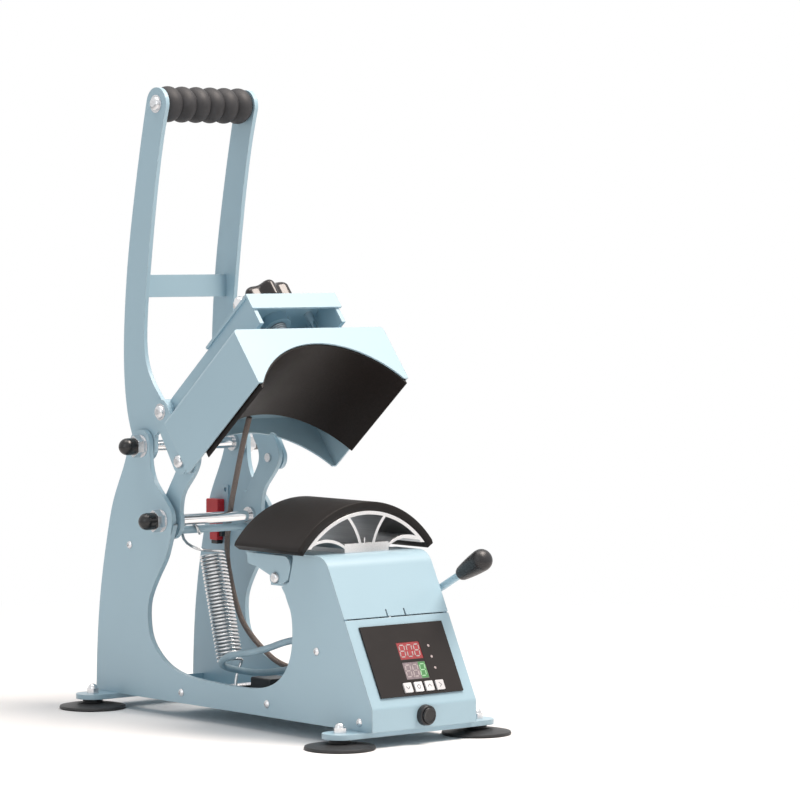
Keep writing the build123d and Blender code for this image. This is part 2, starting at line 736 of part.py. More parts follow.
def clamp_lever_frame(distance):
    """Plane square to the clamp lever, at a distance along it."""
    way = (-cos(radians(lever_rise)), sin(radians(lever_rise)))
    start = (lever_start[0] + way[0] * distance, lever_start[1] + way[1] * distance)
    return Plane(origin=(frame_outer + 3.9 + 3.3, start[0], start[1]), x_dir=(1, 0, 0),
                 z_dir=(0, way[0], way[1]))


def clamp_lever():
    stem = extrude(clamp_lever_frame(-7.0) * Circle(3.3), amount=68.0)
    return stem


def clamp_grip():
    """Tapered grip, thin at its neck and round at its end."""
    profile = closed_outline(
        Line((3.32, 0), (5.6, 0)), Line((5.6, 0), (6.4, 2.0)),
        Spline([(6.4, 2.0), (8.0, 12.0), (9.3, 24.0), (9.6, 29.0)]),
        Spline([(9.6, 29.0), (7.6, 35.2), (0, 38.0)], tangents=[(0, 1), (-1, 0)]),
        Line((0, 38.0), (0, 12.5)), Line((0, 12.5), (3.32, 12.5)), Line((3.32, 12.5), (3.32, 0)))
    return clamp_lever_frame(48.8) * revolve(Plane.XZ * profile, axis=Axis.Z)


def clamp_screw(way):
    """Shoulder screw: head outside, shoulder through the cheek, held by the cover flange."""
    outer = frame_outer + (4.1 if way > 0 else 0.2)
    head = button_head(clamp_pivot, way * outer, 5.0)
    shank = rod(clamp_pivot, 3.0, 47.0, outer)
    return head + (shank if way > 0 else other_side(shank))


# ---------------------------------------------------------------- switch
def switch_bracket():
    strip = block(50.4, frame_inner, 140.5, 149.0, 141.5, 197.0)
    for z in (148.0, 193.0):
        strip -= rod((switch_screw[0], z), 2.0, 40, 60)
    return strip


def limit_switch():
    upper = block(37.5, 50.3, 140.4, 149.4, 168.0, 184.4)
    lower = block(41.5, 50.3, 141.2, 149.0, 152.4, 168.0)
    return upper + lower


def switch_base():
    return block(43.5, 50.3, 141.8, 148.6, 150.6, 152.35)


# ---------------------------------------------------------------- spring
def biarc(start, start_way, end, end_way):
    """Two arcs that join in line, from one point and direction to another."""
    chord = end - start
    total = start_way + end_way
    turn = 2 * (1 - start_way.dot(end_way))
    along = chord.dot(total)
    reach = (-along + sqrt(along * along + turn * chord.dot(chord))) / turn
    middle = (start + end + (start_way - end_way) * reach) * 0.5
    first = TangentArc(start, middle, tangent=start_way)
    second = TangentArc(middle, end, tangent=first % 1)
    return [first, second]


spring_length = hypot(spring_bar[0] - anchor_rod[0], spring_bar[1] - anchor_rod[1])
spring_up = Vector(0, (spring_bar[0] - anchor_rod[0]) / spring_length,
                   (spring_bar[1] - anchor_rod[1]) / spring_length)
spring_side = Vector(1, 0, 0)
spring_back = spring_up.cross(spring_side)
spring_foot = Vector(spring_x, anchor_rod[0], anchor_rod[1])
coil_low = 24.0
coil_high = 122.0


def spring_point(x, back, along):
    return spring_foot + spring_side * x + spring_back * back + spring_up * along


def coil_point(turns):
    angle = 2 * pi * turns
    return spring_point(coil_radius * sin(angle), -coil_radius * cos(angle),
                        coil_low + (coil_high - coil_low) * turns / coil_turns)


def coil_way(turns):
    angle = 2 * pi * turns
    rise = (coil_high - coil_low) / coil_turns / (2 * pi)
    way = spring_side * (coil_radius * cos(angle)) + spring_back * (coil_radius * sin(angle)) \
        + spring_up * rise
    return way.normalized()


def spring_route():
    """Coil as a chain of half-turn biarcs, with a hook at each end."""
    edges = []
    halves = 2 * coil_turns
    for i in range(halves):
        a, b = i / 2, (i + 1) / 2
        edges += biarc(coil_point(a), coil_way(a), coil_point(b), coil_way(b))
    start, start_way = coil_point(0), coil_way(0)
    clear = anchor_rod_radius + wire_radius + 0.4
    foot_points = [start, start - start_way * 7.0, spring_point(-5.0, -4.0, 14.0),
                   spring_point(-1.0, -clear, 4.0), spring_point(0.0, -clear, -clear),
                   spring_point(0.0, clear, -clear), spring_point(0.5, clear, 2.0)]
    foot = FilletPolyline(foot_points, radius=spring_radii(foot_points))
    end, end_way = coil_point(coil_turns), coil_way(coil_turns)
    bar = spring_length
    hold = spring_bar_radius + wire_radius + 0.35
    top_points = [end, end + end_way * 6.0, spring_point(8.0, 1.0, bar - 14.0),
                  spring_point(3.0, hold, bar - 5.0), spring_point(2.0, hold, bar + hold),
                  spring_point(1.0, -hold, bar + hold), spring_point(0.5, -hold, bar - 3.0)]
    top = FilletPolyline(top_points, radius=spring_radii(top_points))
    return edges, foot, top


def spring_radii(points):
    """Largest even bend at each corner: 0.45 of the shorter run over tan of half the turn."""
    radii = []
    for a, b, c in zip(points, points[1:], points[2:]):
        turn = radians((b - a).get_angle(c - b))
        radii.append(0.45 * min((b - a).length, (c - b).length) / tan(turn / 2))
    print("spring hook radii", [round(r, 1) for r in radii])
    return radii


def spring():
    edges, foot, top = spring_route()
    coil = Wire(edges)
    coil_tube = sweep(section_at(coil_point(0), coil_way(0), wire_radius), path=coil)
    foot_tube = sweep(section_at(coil_point(0), coil_way(0) * -1, wire_radius), path=foot)
    top_tube = sweep(section_at(coil_point(coil_turns), coil_way(coil_turns), wire_radius), path=top)
    return coil_tube + foot_tube + top_tube


def section_at(point, way, radius):
    return Plane(origin=point, z_dir=way) * Circle(radius)


def print_spring_gap():
    samples = 24
    points = [coil_point(i / samples) for i in range(coil_turns * samples + 1)]
    gap = min((points[i + k] - points[i]).length for i in range(samples * 3)
              for k in range(samples // 2, samples * 2)) - 2 * wire_radius
    print("least gap between spring turns", round(gap, 2))


# ---------------------------------------------------------------- leads
lead_radius = 2.2
loop_radius = 2.4
lead_exit_x = 28.0
lead_exit_z = 196.0
lead_holes = [(30.0, 44.0, 4.2), (-34.0, 79.5, 4.2), (0.0, 52.8, 4.2)]


def tube_radii(points, name):
    vectors = [Vector(*p) for p in points]
    radii = []
    for a, b, c in zip(vectors, vectors[1:], vectors[2:]):
        turn = radians((b - a).get_angle(c - b))
        radii.append(0.45 * min((b - a).length, (c - b).length) / tan(turn / 2))
    print(name, "radii", [round(r, 1) for r in radii])
    return radii


def tube(points, radius, name):
    path = FilletPolyline([Vector(*p) for p in points], radius=tube_radii(points, name))
    start = Vector(*points[0])
    way = (Vector(*points[1]) - start).normalized()
    body = sweep(Plane(origin=start, z_dir=way) * Circle(radius), path=path)
    print(name, "length", round(path.length, 1), "volume over section times length",
          round(body.volume / (pi * radius ** 2 * path.length), 4))
    return body


def lead_exit():
    """Where the heater lead leaves the open head, and the way it points."""
    y, z = turned((cover_back - 6.0, lead_exit_z), lower_pivot, -head_travel)
    out = turned((1.0, 0.0), (0.0, 0.0), -head_travel)
    return y, z, out


def heater_lead_points():
    y, z, out = lead_exit()
    run = 22.0
    return [(lead_exit_x, y, z), (lead_exit_x, y + out[0] * run, z + out[1] * run),
            (29.0, 101.0, 204.0), (31.0, 116.0, 186.0), (32.0, 122.5, 163.0), (31.5, 122.0, 139.0),
            (30.0, 116.0, 116.0), (28.0, 104.0, 94.0), (27.0, 86.0, 74.0), (28.0, 62.0, 58.0),
            (29.5, 36.0, 49.0), (30.0, 8.0, 45.0), (30.0, -24.0, 43.5), (30.0, -56.0, 44.0),
            (30.0, box_rear - 5, 44.0)]


def loop_points():
    return [(-34.0, box_rear - 5, 79.6), (-34.0, -66.0, 79.2), (-34.5, -44.0, 71.4),
            (-34.0, -24.0, 63.2), (-33.5, -4.0, 59.4), (-33.5, 16.0, 55.2), (-34.0, 32.0, 50.8),
            (-34.0, 47.0, 47.6), (-24.0, 57.0, 45.0), (-10.0, 57.0, 42.4), (0.0, 47.0, 41.2),
            (0.5, 27.0, 43.4), (0.0, 1.0, 46.4), (-0.5, -26.0, 50.6), (0.0, -56.0, 52.6),
            (0.0, box_rear - 5, 52.8)]


def gland(x, z, radius):
    """Grommet in the rear wall round a lead."""
    ring = Cylinder(4.15, sheet) + Pos(0, 0, 2.2) * Cylinder(5.6, 2.9)
    ring = ring + Pos(0, 0, -2.0) * Cylinder(5.6, 2.4)
    ring -= Cylinder(radius + 0.1, 20)
    return Pos(x, box_rear - sheet / 2, z) * Rot(-90, 0, 0) * ring


# ---------------------------------------------------------------- inside the box
def circuit_board():
    board = block(-40, 40, -168, -104, 24.5, 26.1)
    relay = block(-30, -12, -150, -135, 26.1, 42)
    transformer = block(6, 32, -152, -120, 26.1, 50)
    terminal = block(-34, 20, -114, -106, 26.1, 36)
    posts = [post(x, y, 14.95, 24.5, 3.0) for x in (-36, 36) for y in (-164, -108)]
    return board + relay + transformer + terminal + posts[0] + posts[1] + posts[2] + posts[3]


def mains_inlet():
    """Appliance inlet on the floor behind the box, its socket facing back."""
    body = block(10, 36, 26, 54, 14.95, 33)
    body = fillet(body.edges().filter_by(Axis.Y), 2.0)
    recess = block(13, 33, 38, 55, 18, 30)
    pins = [block(x - 1, x + 1, 37.5, 50, 22, 26) for x in (17.5, 23, 28.5)]
    return body - recess + pins[0] + pins[1] + pins[2]


# ---------------------------------------------------------------- assembly
def build_frame():
    left = side_plate()
    save("left_side_plate", left)
    save("right_side_plate", other_side(left))
    spots = side_screws + [switch_screw]
    screws = [domed_screw(spot, -frame_outer, -1) for spot in spots]
    right = [domed_screw(spot, frame_outer, 1) for spot in spots]
    save("side_screws", *screws, *right)
    save("front_foot_bar", foot_bar(-foot_y))
    save("rear_foot_bar", foot_bar(foot_y))
    corners = [(x, y) for x in (-foot_x, foot_x) for y in (-foot_y, foot_y)]
    save("rubber_feet", *[rubber_foot(x, y) for x, y in corners])
    nuts = [dome_nut((x, y, frame_bottom), 10.0, 3.0) for x, y in corners]
    save("foot_bolts", *[foot_bolt(x, y) for x, y in corners], *nuts)
    save("upper_cover", upper_cover())
    save("control_cover", control_cover())
    save("rear_wall", rear_wall())
    save("base_plate", base_plate())
    save("circuit_board", circuit_board())
    save("mains_inlet", mains_inlet())


def build_panel():
    save("display_panel", display_panel())
    save("display_windows", *[display_window(x, distance) for _, x, distance in display_rows])
    save("indicator_lamps", *[lamp(x, distance) for x, distance in lamp_places])
    names = ("down_key", "zero_key", "up_key", "next_key")
    for name, (x, distance) in zip(names, key_places):
        save(name, key(x, distance))
    ring, nut = power_button_ring()
    save("power_button_ring", ring, nut)
    save("power_button", power_button())


def build_rods():
    save("upper_rod", pivot_rod(upper_pivot))
    save("lower_rod", pivot_rod(lower_pivot))
    nuts = []
    caps = []
    for point in (upper_pivot, lower_pivot):
        for x in (-frame_outer, frame_outer):
            nuts += hex_nut(point, x)
            way = 1 if x > 0 else -1
            caps.append(ball_cap(point, x + way * (1.0 + nut_height)))
    save("rod_nuts", *nuts)
    save("rod_end_caps", *caps)
    thin = collar(upper_pivot, 9.0, -frame_inner + 0.05, -lever_outer - 0.2)
    inner = collar(upper_pivot, 7.5, -lever_inner + 0.2, -lever_inner + 3.6)
    spacer = collar(lower_pivot, 8.5, -frame_inner + 0.05, -arm_outer - 0.2)
    stop = collar(lower_pivot, 8.0, -arm_inner + 0.2, -arm_inner + 3.2)
    save("rod_collars", *pair(thin), *pair(inner), *pair(spacer), *pair(stop))
    anchor = rod(anchor_rod, anchor_rod_radius, -frame_inner, frame_inner)
    screw_room = rod(anchor_rod, 2.0, -frame_inner - 1, -frame_inner + 1.5)
    save("spring_anchor_rod", anchor - screw_room - other_side(screw_room))


def build_lever():
    arm = lever_arm()
    save("left_lever_arm", arm)
    save("right_lever_arm", other_side(arm))
    upper, lower = lever_crossbar()
    save("lever_crossbars", upper, lower)
    save("grip", grip())
    heads = []
    for way in (-1, 1):
        heads.append(button_head(grip_centre, way * (lever_outer + 0.8), 6.4))
        heads.append(washer(grip_centre, way * lever_outer, 8.0, 4.0 + hair))
    save("grip_rod", rod(grip_centre, 4.0, -lever_outer - 0.8, lever_outer + 0.8), *heads)


def build_arms():
    arm = head_arm_plate()
    save("left_head_arm", arm)
    save("right_head_arm", other_side(arm))
    save("front_channel", front_channel())
    save("spring_bar", rod(spring_bar, spring_bar_radius, -arm_outer, arm_outer))
    pins = []
    spacer = rod(arm_pin, 6.5, -link_inner + 0.15, -arm_outer) - rod(arm_pin, 4.0 + hair, -60, 60)
    for way in (-1, 1):
        shank = rod(arm_pin, 4.0, -link_outer - 1.1, -arm_inner + 2.0)
        head = button_head(arm_pin, -(link_outer + 1.1), 6.0)
        bolt = shank + head
        pins.append(bolt if way < 0 else other_side(bolt))
    save("arm_pins", *pins, *pair(spacer))


def build_links():
    link = link_plate()
    bolt = rod(lever_pin, 4.0, -link_outer - 0.8, -link_inner) + \
        button_head(lever_pin, -(link_outer + 0.8), 6.0)
    ring = washer(lever_pin, -link_outer, 7.4, 4.0 + hair)
    save("links", *pair(link))
    save("link_pins", *pair(bolt), *pair(ring))


def build_head():
    save("head_cover", head_cover())
    save("heating_element", heating_element())
    save("pressure_plate", pressure_plate())
    nuts = [opened(dome_nut((x, guide_y, arm_top + 8.0), 13.0, 4.0)) for x in (-guide_x, guide_x)]
    save("guide_rods", guide_rod(-guide_x), guide_rod(guide_x), *nuts)
    save("pressure_screw", pressure_screw())
    save("pressure_knob", knob())


def build_platen():
    save("platen_extrusion", platen_extrusion())
    save("platen_pad", platen_pad())
    save("platen_bolts", platen_bolt(-16.0), platen_bolt(16.0))


def build_clamp():
    cheek = clamp_cheek()
    save("clamp_yoke", cheek + other_side(cheek) + clamp_bar())
    save("clamp_lever", clamp_crank() + clamp_lever())
    save("clamp_grip", clamp_grip())
    save("clamp_screws", clamp_screw(-1), clamp_screw(1))


def build_rest():
    save("switch_bracket", switch_bracket())
    save("limit_switch", limit_switch(), switch_base())
    save("heater_lead", tube(heater_lead_points(), lead_radius, "heater lead"))
    save("lead_loop", tube(loop_points(), loop_radius, "lead loop"))
    save("lead_glands", *[gland(x, z, loop_radius) for x, z, _ in lead_holes])
    print_spring_gap()
    save("spring", spring())


build_frame()
build_panel()
build_rods()
build_lever()
build_arms()
build_links()
build_head()
build_platen()
build_clamp()
build_rest()
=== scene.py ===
import math

import bpy
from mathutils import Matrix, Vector


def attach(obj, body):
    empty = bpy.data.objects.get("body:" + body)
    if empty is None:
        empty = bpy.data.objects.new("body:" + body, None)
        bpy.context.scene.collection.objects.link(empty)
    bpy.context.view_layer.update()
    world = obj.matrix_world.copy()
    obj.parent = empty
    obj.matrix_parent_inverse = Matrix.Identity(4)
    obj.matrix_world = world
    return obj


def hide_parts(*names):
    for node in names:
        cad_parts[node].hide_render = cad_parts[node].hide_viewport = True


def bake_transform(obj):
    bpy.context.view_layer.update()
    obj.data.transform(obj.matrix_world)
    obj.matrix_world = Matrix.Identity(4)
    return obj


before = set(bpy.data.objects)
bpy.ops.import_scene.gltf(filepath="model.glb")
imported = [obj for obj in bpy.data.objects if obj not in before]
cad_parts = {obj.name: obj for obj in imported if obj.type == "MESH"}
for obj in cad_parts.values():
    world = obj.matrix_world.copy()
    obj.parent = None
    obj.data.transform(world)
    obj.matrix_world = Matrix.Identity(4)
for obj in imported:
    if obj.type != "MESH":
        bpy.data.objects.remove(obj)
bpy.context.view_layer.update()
mm = 0.001
print("frame loaded with", len(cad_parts), "nodes")


# one Finish per material; its calls read from the top of the node tree to the bottom
class Finish:
    def __init__(self, name, colour, roughness, metallic=0.0):
        self.material = bpy.data.materials.new(name)
        self.material.use_nodes = True
        self.nodes = self.material.node_tree.nodes
        self.links = self.material.node_tree.links
        self.shader = self.nodes["Principled BSDF"]
        self.set("Base Color", (*colour, 1))
        self.set("Roughness", roughness)
        self.set("Metallic", metallic)
        self.coords = self.nodes.new("ShaderNodeTexCoord")
        self.bumps = []

    def set(self, socket, value):
        self.shader.inputs[socket].default_value = value

    def place(self, stretch=(1, 1, 1), source="Object"):
        mapping = self.nodes.new("ShaderNodeMapping")
        mapping.inputs["Scale"].default_value = stretch
        self.links.new(self.coords.outputs[source], mapping.inputs["Vector"])
        return mapping.outputs["Vector"]

    def noise(self, scale, detail=3, stretch=(1, 1, 1), source="Object"):
        node = self.nodes.new("ShaderNodeTexNoise")
        node.inputs["Scale"].default_value = scale
        node.inputs["Detail"].default_value = detail
        self.links.new(self.place(stretch, source), node.inputs["Vector"])
        return node.outputs["Fac"]

    def cells(self, scale, stretch=(1, 1, 1), source="Object"):
        node = self.nodes.new("ShaderNodeTexVoronoi")
        node.inputs["Scale"].default_value = scale
        self.links.new(self.place(stretch, source), node.inputs["Vector"])
        return node.outputs["Distance"]

    def ramp(self, value, *stops):
        node = self.nodes.new("ShaderNodeValToRGB")
        while len(node.color_ramp.elements) < len(stops):
            node.color_ramp.elements.new(0.5)
        for element, (position, colour) in zip(node.color_ramp.elements, stops):
            element.position = position
            element.color = (*colour, 1) if len(colour) == 3 else colour
        self.links.new(value, node.inputs["Fac"])
        return node.outputs["Color"]

    def range(self, value, low, high, fromLow=0.0, fromHigh=1.0):
        node = self.nodes.new("ShaderNodeMapRange")
        for name, number in (("From Min", fromLow), ("From Max", fromHigh),
                             ("To Min", low), ("To Max", high)):
            node.inputs[name].default_value = number
        self.links.new(value, node.inputs["Value"])
        return node.outputs["Result"]

    def maths(self, operation, first, second):
        node = self.nodes.new("ShaderNodeMath")
        node.operation = operation
        for socket, value in zip(node.inputs, (first, second)):
            if isinstance(value, (int, float)):
                socket.default_value = value
            else:
                self.links.new(value, socket)
        return node.outputs[0]

    def mix(self, factor, first, second):
        node = self.nodes.new("ShaderNodeMix")
        node.data_type = "RGBA"
        for name, value in (("Factor", factor), ("A", first), ("B", second)):
            socket = [s for s in node.inputs if s.name == name and s.enabled][0]
            if isinstance(value, tuple):
                socket.default_value = (*value, 1)
            elif isinstance(value, (int, float)):
                socket.default_value = value
            else:
                self.links.new(value, socket)
        return [s for s in node.outputs if s.enabled][0]

    def colour(self, value):
        self.links.new(value, self.shader.inputs["Base Color"])

    def roughness(self, value):
        self.links.new(value, self.shader.inputs["Roughness"])

    def soften(self, radius):
        node = self.nodes.new("ShaderNodeBevel")
        node.samples = 6
        node.inputs["Radius"].default_value = radius
        self.bumps.append(node.outputs["Normal"])
        self.links.new(node.outputs["Normal"], self.shader.inputs["Normal"])
        return node.outputs["Normal"]

    def bump(self, height, depth, strength=1.0):
        node = self.nodes.new("ShaderNodeBump")
        node.inputs["Strength"].default_value = strength
        node.inputs["Distance"].default_value = depth
        self.links.new(height, node.inputs["Height"])
        if self.bumps:
            self.links.new(self.bumps[-1], node.inputs["Normal"])
        self.bumps.append(node.outputs["Normal"])
        self.links.new(node.outputs["Normal"], self.shader.inputs["Normal"])


paintLook = {"colour": (0.365, 0.53, 0.62), "roughness": 0.36, "grain": 700, "edge": 0.7 * mm}


def powderCoat(name="paleBluePowderCoat", colour=paintLook["colour"]):
    # satin coat: faint cloudy tone, orange peel and a painted highlight, a paler line along the
    # edges
    f = Finish(name, colour, paintLook["roughness"])
    flat = f.nodes.new("ShaderNodeNewGeometry").outputs["Normal"]
    rounded = f.soften(paintLook["edge"])
    turn = f.nodes.new("ShaderNodeVectorMath")
    turn.operation = "DOT_PRODUCT"
    f.links.new(flat, turn.inputs[0])
    f.links.new(rounded, turn.inputs[1])
    edge = f.range(turn.outputs["Value"], 1.0, 0.0, 0.86, 0.995)
    cloud = f.noise(9, 4)
    dark = tuple(c * 0.95 for c in colour)
    light = tuple(min(1, c * 1.03) for c in colour)
    highlightTint = tuple(c + (1 - c) * 0.28 for c in colour)
    base = f.mix(cloud, dark, light)
    # painted highlight: edges are mixed toward a paler tint, broken up by noise
    paintedEdgeHighlight = f.maths("MULTIPLY", edge, f.range(f.noise(60, 5), 0.25, 1.0, 0.35, 0.6))
    f.colour(f.mix(paintedEdgeHighlight, base, highlightTint))
    f.roughness(f.range(f.noise(40, 3), 0.32, 0.44))
    f.bump(f.noise(paintLook["grain"], 2), 0.12 * mm, 0.35)
    f.set("Coat Weight", 0.4)
    f.set("Coat Roughness", 0.3)
    return f.material


def softRubber(name, colour=(0.018, 0.018, 0.02), roughness=0.58):
    f = Finish(name, colour, roughness)
    f.soften(0.5 * mm)
    bright = tuple(c * 1.9 for c in colour)
    f.colour(f.ramp(f.noise(120, 6), (0.3, colour), (0.75, bright)))
    f.roughness(f.range(f.noise(25, 4), roughness - 0.1, roughness + 0.12))
    f.bump(f.noise(1400, 3), 0.08 * mm, 0.6)
    return f.material


def mouldedPlastic(name, colour, roughness=0.34, grain=0.25):
    f = Finish(name, colour, roughness)
    f.soften(0.4 * mm)
    shade = tuple(c * 0.8 for c in colour)
    f.colour(f.ramp(f.noise(35, 4), (0.35, shade), (0.65, colour)))
    f.roughness(f.range(f.noise(90, 3), roughness - 0.06, roughness + 0.08))
    f.bump(f.noise(2200, 2), 0.05 * mm, grain)
    return f.material


def turnedMetal(name, colour, roughness, stretch=(1, 1, 1), lines=300, depth=0.02 * mm):
    # metal with fine lines left by drawing, turning or extruding
    f = Finish(name, colour, roughness, 1.0)
    f.soften(0.3 * mm)
    streak = f.noise(lines, 4, stretch)
    shade = tuple(c * 0.82 for c in colour)
    f.colour(f.ramp(streak, (0.25, shade), (0.8, colour)))
    f.roughness(f.range(f.noise(30, 5), roughness * 0.75, roughness * 1.35))
    f.bump(streak, depth, 0.5)
    return f.material


def openFoam(name="darkSiliconeFoam"):
    f = Finish(name, (0.008, 0.0065, 0.006), 0.6)
    f.soften(0.4 * mm)
    f.set("Specular IOR Level", 0.25)
    mottle = f.noise(600, 6)
    dark, light = (0.0065, 0.005, 0.0045), (0.011, 0.0085, 0.008)
    f.colour(f.mix(f.range(mottle, 0, 1, 0.35, 0.65), dark, light))
    f.roughness(f.range(mottle, 0.5, 0.68))
    f.bump(f.cells(1500), 0.06 * mm, 0.35)
    f.set("Sheen Weight", 0.04)
    return f.material


def heatCoating(name="brownNonStickCoat"):
    # dark satin coating with faint sprayed speckle
    f = Finish(name, (0.008, 0.0055, 0.0045), 0.42)
    f.soften(0.5 * mm)
    f.set("Specular IOR Level", 0.18)
    speck = f.noise(700, 5)
    dark, light = (0.0075, 0.0052, 0.0046), (0.012, 0.0086, 0.0075)
    f.colour(f.mix(f.range(speck, 0, 1, 0.4, 0.62), dark, light))
    f.roughness(f.range(f.noise(50, 4), 0.34, 0.5))
    f.bump(speck, 0.05 * mm, 0.4)
    return f.material


def braidedSleeve(name="brownBraid"):
    # two sets of strands wound against each other along the lead
    f = Finish(name, (0.2, 0.16, 0.14), 0.75)

    def strands(slant):
        wave = f.nodes.new("ShaderNodeTexWave")
        wave.inputs["Scale"].default_value = 1.0
        wave.inputs["Distortion"].default_value = 0.4
        mapping = f.nodes.new("ShaderNodeMapping")
        mapping.inputs["Rotation"].default_value = (0, 0, slant)
        mapping.inputs["Scale"].default_value = (6.0, 6.0, 1.0)
        f.links.new(f.coords.outputs["UV"], mapping.inputs["Vector"])
        f.links.new(mapping.outputs["Vector"], wave.inputs["Vector"])
        return wave.outputs["Fac"]

    weave = f.maths("MAXIMUM", strands(0.8), strands(-0.8))
    f.colour(f.ramp(weave, (0.3, (0.075, 0.055, 0.05)), (0.9, (0.33, 0.27, 0.24))))
    f.bump(weave, 0.35 * mm, 0.8)
    return f.material


def litGlass(name, colour, glow):
    f = Finish(name, colour, 0.16)
    f.colour(f.ramp(f.noise(300, 3), (0.3, tuple(c * 0.75 for c in colour)), (0.7, colour)))
    f.set("Emission Color", (*colour, 1))
    f.set("Emission Strength", glow)
    return f.material


def panelFilm(name="darkPanelFilm"):
    # printed film: brown-black with a soft sheen and tiny texture
    f = Finish(name, (0.014, 0.0105, 0.0095), 0.38)
    f.set("Specular IOR Level", 0.3)
    f.colour(f.ramp(f.noise(14, 3), (0.3, (0.011, 0.0085, 0.008)), (0.7, (0.018, 0.014, 0.013))))
    f.roughness(f.range(f.noise(80, 3), 0.32, 0.44))
    f.bump(f.noise(1800, 2), 0.03 * mm, 0.3)
    return f.material


blue = powderCoat()
rubber = softRubber("blackGripRubber")
feetRubber = softRubber("blackFootRubber", (0.014, 0.014, 0.015), 0.5)
blackPlastic = mouldedPlastic("blackMouldedPlastic", (0.016, 0.016, 0.018), 0.36)
ballPlastic = mouldedPlastic("blackBallPlastic", (0.012, 0.012, 0.013), 0.22, 0.1)
redPlastic = mouldedPlastic("redSwitchPlastic", (0.62, 0.035, 0.045), 0.35)
whitePlastic = mouldedPlastic("whiteKeyPlastic", (0.8, 0.81, 0.83), 0.4)
boardPlastic = mouldedPlastic("greenBoard", (0.03, 0.2, 0.08), 0.4)
polishedRod = turnedMetal("polishedRod", (0.86, 0.86, 0.87), 0.12, (1, 8, 8), 200, 0.008 * mm)
zincSteel = turnedMetal("brightZinc", (0.74, 0.75, 0.77), 0.24, (1, 1, 1), 420)
springSteel = turnedMetal("springWire", (0.7, 0.71, 0.72), 0.2, (1, 1, 1), 600)
aluminium = turnedMetal("extrudedAluminium", (0.86, 0.87, 0.88), 0.3, (1, 0.02, 1), 900)
foam = openFoam()
heatCoat = heatCoating()
braid = braidedSleeve()
film = panelFilm()
print("finishes made")


finishOfNode = {
    blue: ["left_side_plate", "right_side_plate", "front_foot_bar", "rear_foot_bar", "upper_cover",
           "control_cover", "rear_wall", "base_plate", "switch_bracket", "left_lever_arm",
           "right_lever_arm", "lever_crossbars", "left_head_arm", "right_head_arm", "front_channel",
           "links", "head_cover", "clamp_yoke", "clamp_lever", "spring_bar"],
    rubber: ["grip", "lead_glands"],
    feetRubber: ["rubber_feet"],
    blackPlastic: ["mains_inlet", "clamp_grip", "power_button_ring", "pressure_knob"],
    ballPlastic: ["rod_end_caps", "power_button"],
    redPlastic: ["limit_switch"],
    whitePlastic: ["down_key", "zero_key", "up_key", "next_key"],
    boardPlastic: ["circuit_board"],
    polishedRod: ["upper_rod", "lower_rod", "guide_rods"],
    zincSteel: ["side_screws", "foot_bolts", "rod_nuts", "rod_collars", "spring_anchor_rod",
                "platen_bolts", "clamp_screws", "grip_rod", "arm_pins", "link_pins",
                "pressure_plate", "pressure_screw"],
    springSteel: ["spring"],
    aluminium: ["platen_extrusion"],
    foam: ["platen_pad"],
    heatCoat: ["heating_element"],
    braid: ["heater_lead", "lead_loop"],
    film: ["display_panel", "display_windows", "indicator_lamps"],
}


def dress(piece, material):
    piece.data.materials.clear()
    piece.data.materials.append(material)


for material, names in finishOfNode.items():
    for name in names:
        dress(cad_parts[name], material)
print("nodes dressed")


def meshPiece(name, points, faces, material, smooth=True):
    mesh = bpy.data.meshes.new(name)
    mesh.from_pydata([tuple(p) for p in points], [], faces)
    mesh.update()
    piece = bpy.data.objects.new(name, mesh)
    bpy.context.scene.collection.objects.link(piece)
    dress(piece, material)
    for face in mesh.polygons:
        face.use_smooth = smooth
    return piece


def routeCurve(name, points, radius=0.0):
    # one NURBS spline with the route's points as its control points
    curve = bpy.data.curves.new(name, "CURVE")
    curve.dimensions = "3D"
    curve.resolution_u = 10
    curve.bevel_depth = radius
    curve.bevel_resolution = 6
    curve.use_fill_caps = True
    spline = curve.splines.new("NURBS")
    spline.points.add(len(points) - 1)
    for knot, point in zip(spline.points, points):
        knot.co = (*[c * mm for c in point], 1)
    spline.order_u = 3
    spline.use_endpoint_u = True
    piece = bpy.data.objects.new(name, curve)
    bpy.context.scene.collection.objects.link(piece)
    return piece


def centreline(curvePiece):
    depsgraph = bpy.context.evaluated_depsgraph_get()
    mesh = bpy.data.meshes.new_from_object(curvePiece.evaluated_get(depsgraph))
    points = [v.co.copy() for v in mesh.vertices]
    bpy.data.meshes.remove(mesh)
    return points


def tubeAlong(name, points, radius, material, sides=16):
    # round tube with u round it and v along it, in turns and in diameters
    frames = []
    side = None
    for i, point in enumerate(points):
        way = (points[min(i + 1, len(points) - 1)] - points[max(i - 1, 0)]).normalized()
        if side is None:
            side = way.orthogonal().normalized()
        side = (side - way * side.dot(way)).normalized()
        frames.append((point, side, way.cross(side)))
    rings = [[p + (s * math.cos(a) + t * math.sin(a)) * radius
              for a in (2 * math.pi * k / sides for k in range(sides))] for p, s, t in frames]
    vertices = [v for ring in rings for v in ring]
    faces = []
    uvs = []
    distance = 0
    for i in range(len(points) - 1):
        nextDistance = distance + (points[i + 1] - points[i]).length / (2 * radius)
        for k in range(sides):
            j = (k + 1) % sides
            faces.append((i * sides + k, i * sides + j, (i + 1) * sides + j, (i + 1) * sides + k))
            u, w = k / sides, (k + 1) / sides
            uvs += [(u, distance), (w, distance), (w, nextDistance), (u, nextDistance)]
        distance = nextDistance
    faces += [tuple(reversed(range(sides))), tuple(range(len(vertices) - sides, len(vertices)))]
    uvs += [(0, 0)] * (2 * sides)
    piece = meshPiece(name, vertices, faces, material)
    layer = piece.data.uv_layers.new(name="UVMap")
    for loop, uv in zip(layer.data, uvs):
        loop.uv = uv
    return piece


